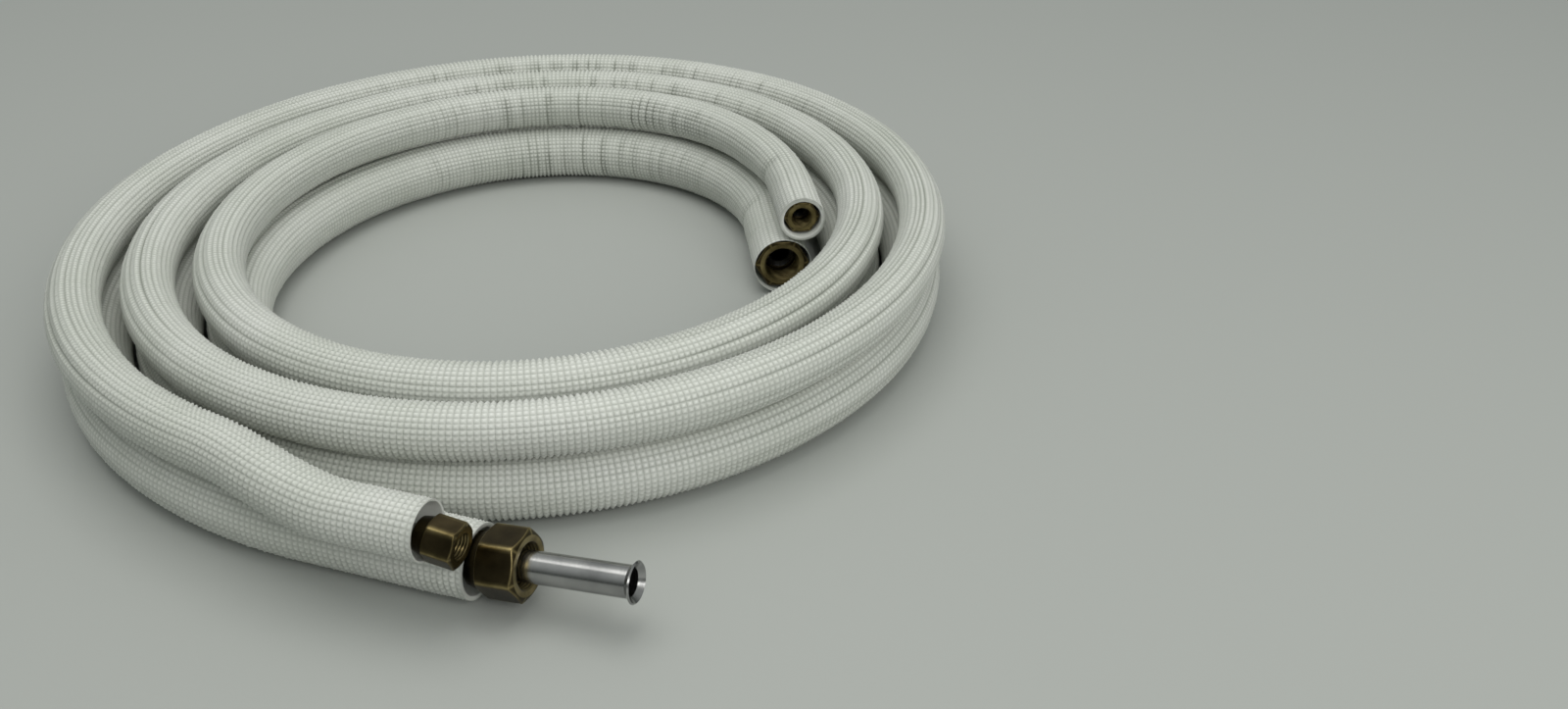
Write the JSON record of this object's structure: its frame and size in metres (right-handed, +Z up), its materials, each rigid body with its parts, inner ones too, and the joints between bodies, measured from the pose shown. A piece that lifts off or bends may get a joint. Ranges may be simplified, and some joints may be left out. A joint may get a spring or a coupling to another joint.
{
  "type": "insulated twin tube coil",
  "caption": "Coil of two foam-sleeved metal tubes joined side by side, wound in loose open turns, with hexagonal flare nuts and flared tube ends.",
  "frame": {"origin": "on the floor, under the middle of the whole coil's outline", "axes": "+Z up, square to the turns; -Y towards the end with the bare flared tube"},
  "size_m": [0.4518, 0.5348, 0.0572],
  "materials": {
    "foam": "matt, embossed",
    "tube": "bright drawn metal",
    "nut": "dull oiled brass with bright edges"
  },
  "bodies": {
    "root": {"gas_sleeve_01": "foam", "gas_sleeve_02": "foam", "gas_sleeve_03": "foam", "gas_sleeve_04": "foam", "gas_sleeve_05": "foam", "gas_sleeve_06": "foam", "gas_sleeve_07": "foam", "gas_sleeve_08": "foam", "gas_sleeve_09": "foam", "gas_sleeve_10": "foam", "gas_sleeve_11": "foam", "gas_sleeve_12": "foam", "gas_sleeve_13": "foam", "gas_sleeve_14": "foam", "gas_sleeve_15": "foam", "gas_sleeve_16": "foam", "gas_sleeve_17": "foam", "liquid_sleeve_01": "foam", "liquid_sleeve_02": "foam", "liquid_sleeve_03": "foam", "liquid_sleeve_04": "foam", "liquid_sleeve_05": "foam", "liquid_sleeve_06": "foam", "liquid_sleeve_07": "foam", "liquid_sleeve_08": "foam", "liquid_sleeve_09": "foam", "liquid_sleeve_10": "foam", "liquid_sleeve_11": "foam", "liquid_sleeve_12": "foam", "liquid_sleeve_13": "foam", "liquid_sleeve_14": "foam", "liquid_sleeve_15": "foam", "liquid_sleeve_16": "foam", "liquid_sleeve_17": "foam", "liquid_sleeve_18": "foam", "liquid_sleeve_19": "foam", "liquid_tube": "tube", "gas_tube": "tube", "liquid_nut_front": "nut", "gas_nut_front": "nut", "liquid_nut_inner": "nut", "gas_nut_inner": "nut"}
  },
  "joints": []
}
